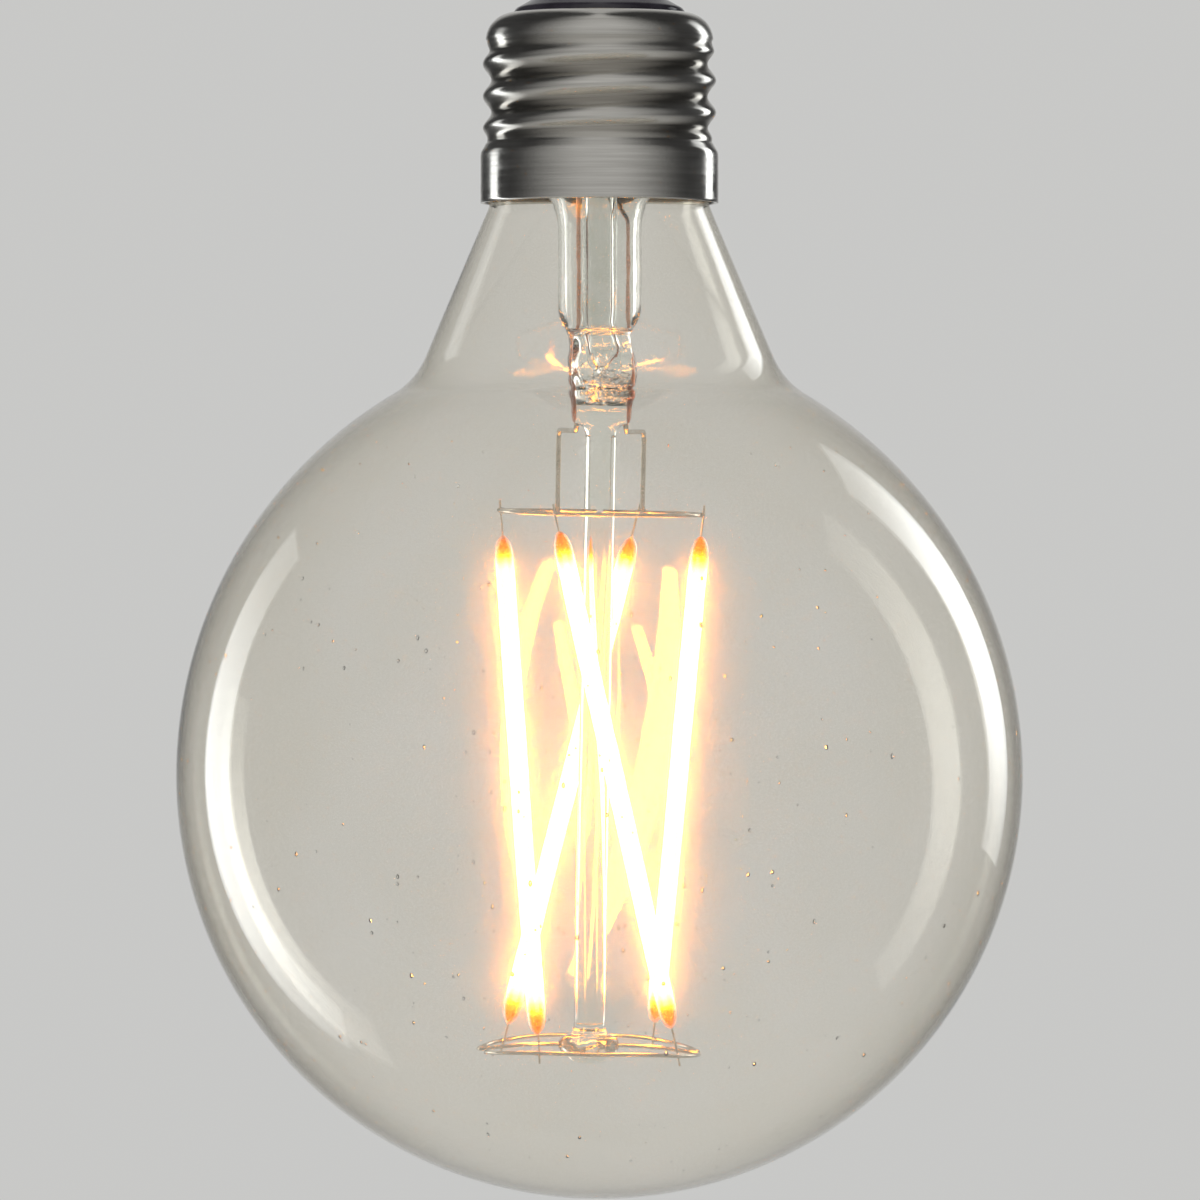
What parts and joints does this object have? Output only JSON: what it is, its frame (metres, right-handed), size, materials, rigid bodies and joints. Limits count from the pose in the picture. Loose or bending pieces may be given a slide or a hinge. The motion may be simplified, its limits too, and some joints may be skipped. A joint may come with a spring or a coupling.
{
  "type": "led globe bulb",
  "caption": "Clear glass globe lamp with upright glowing filaments in a cage round a glass stem, and a screw cap.",
  "frame": {"origin": "on the lamp's axis, half way up the plain collar of the screw cap", "axes": "+Z along the axis from the globe to the tip of the cap, so the lamp hangs as in a pendant holder; -Y towards the viewer of the picture; +X to that viewer's right"},
  "size_m": [0.095, 0.095, 0.138],
  "materials": {
    "globe_glass": "clear blown glass with a faint warm tint, glossy",
    "stem_glass": "clear lead-free tube glass, glossy",
    "nickel_wire": "bright drawn nickel wire",
    "seal_wire": "borated copper-clad wire, dark red",
    "copper_wire": "drawn copper, slightly dulled",
    "phosphor_coat": "amber silicone with phosphor, satin, lit",
    "strip_ceramic": "white alumina strip, matte",
    "chip_crystal": "polished crystal",
    "terminal_wire": "plated stamped end wire",
    "cap_metal": "nickel-plated rolled sheet",
    "insulator_glass": "black cast glass",
    "contact_brass": "stamped brass, slightly dulled",
    "solder": "bright tin solder",
    "cement": "baked capping cement, matte",
    "board": "green solder mask on glass fibre",
    "package_plastic": "black moulding compound",
    "capacitor_can": "drawn aluminium can",
    "capacitor_rubber": "moulded rubber",
    "resistor_ceramic": "flameproof coating, matte",
    "sleeve_fibre": "woven glass-fibre sleeve"
  },
  "bodies": {
    "root": {"glass_globe": "globe_glass", "stem_flare": "stem_glass", "exhaust_tube": "stem_glass", "support_rod": "stem_glass", "support_bead": "stem_glass", "inner_lead_left": "nickel_wire", "inner_lead_right": "nickel_wire", "seal_wires": "seal_wire", "outer_lead_left": "copper_wire", "outer_lead_right": "copper_wire", "upper_support_left": "nickel_wire", "upper_support_right": "nickel_wire", "upper_support_front": "nickel_wire", "lower_support_front": "nickel_wire", "lower_support_back": "nickel_wire", "cap_shell": "cap_metal", "cap_insulator": "insulator_glass", "centre_contact": "contact_brass", "contact_solder": "solder", "capping_cement": "cement", "driver_board": "board", "rectifier_body": "package_plastic", "driver_chip_body": "package_plastic", "package_legs": "solder", "surface_resistors": "package_plastic", "smoothing_capacitor": "capacitor_can", "capacitor_bung": "capacitor_rubber", "capacitor_pins": "copper_wire", "fusible_resistor": "resistor_ceramic", "resistor_wires": "copper_wire", "resistor_sleeve": "sleeve_fibre", "neutral_wire": "copper_wire", "board_solder": "solder", "filament_1_coat": "phosphor_coat", "filament_1_strip": "strip_ceramic", "filament_1_chips": "chip_crystal", "filament_1_terminals": "terminal_wire", "filament_2_coat": "phosphor_coat", "filament_2_strip": "strip_ceramic", "filament_2_chips": "chip_crystal", "filament_2_terminals": "terminal_wire", "filament_3_coat": "phosphor_coat", "filament_3_strip": "strip_ceramic", "filament_3_chips": "chip_crystal", "filament_3_terminals": "terminal_wire", "filament_4_coat": "phosphor_coat", "filament_4_strip": "strip_ceramic", "filament_4_chips": "chip_crystal", "filament_4_terminals": "terminal_wire"}
  },
  "joints": []
}
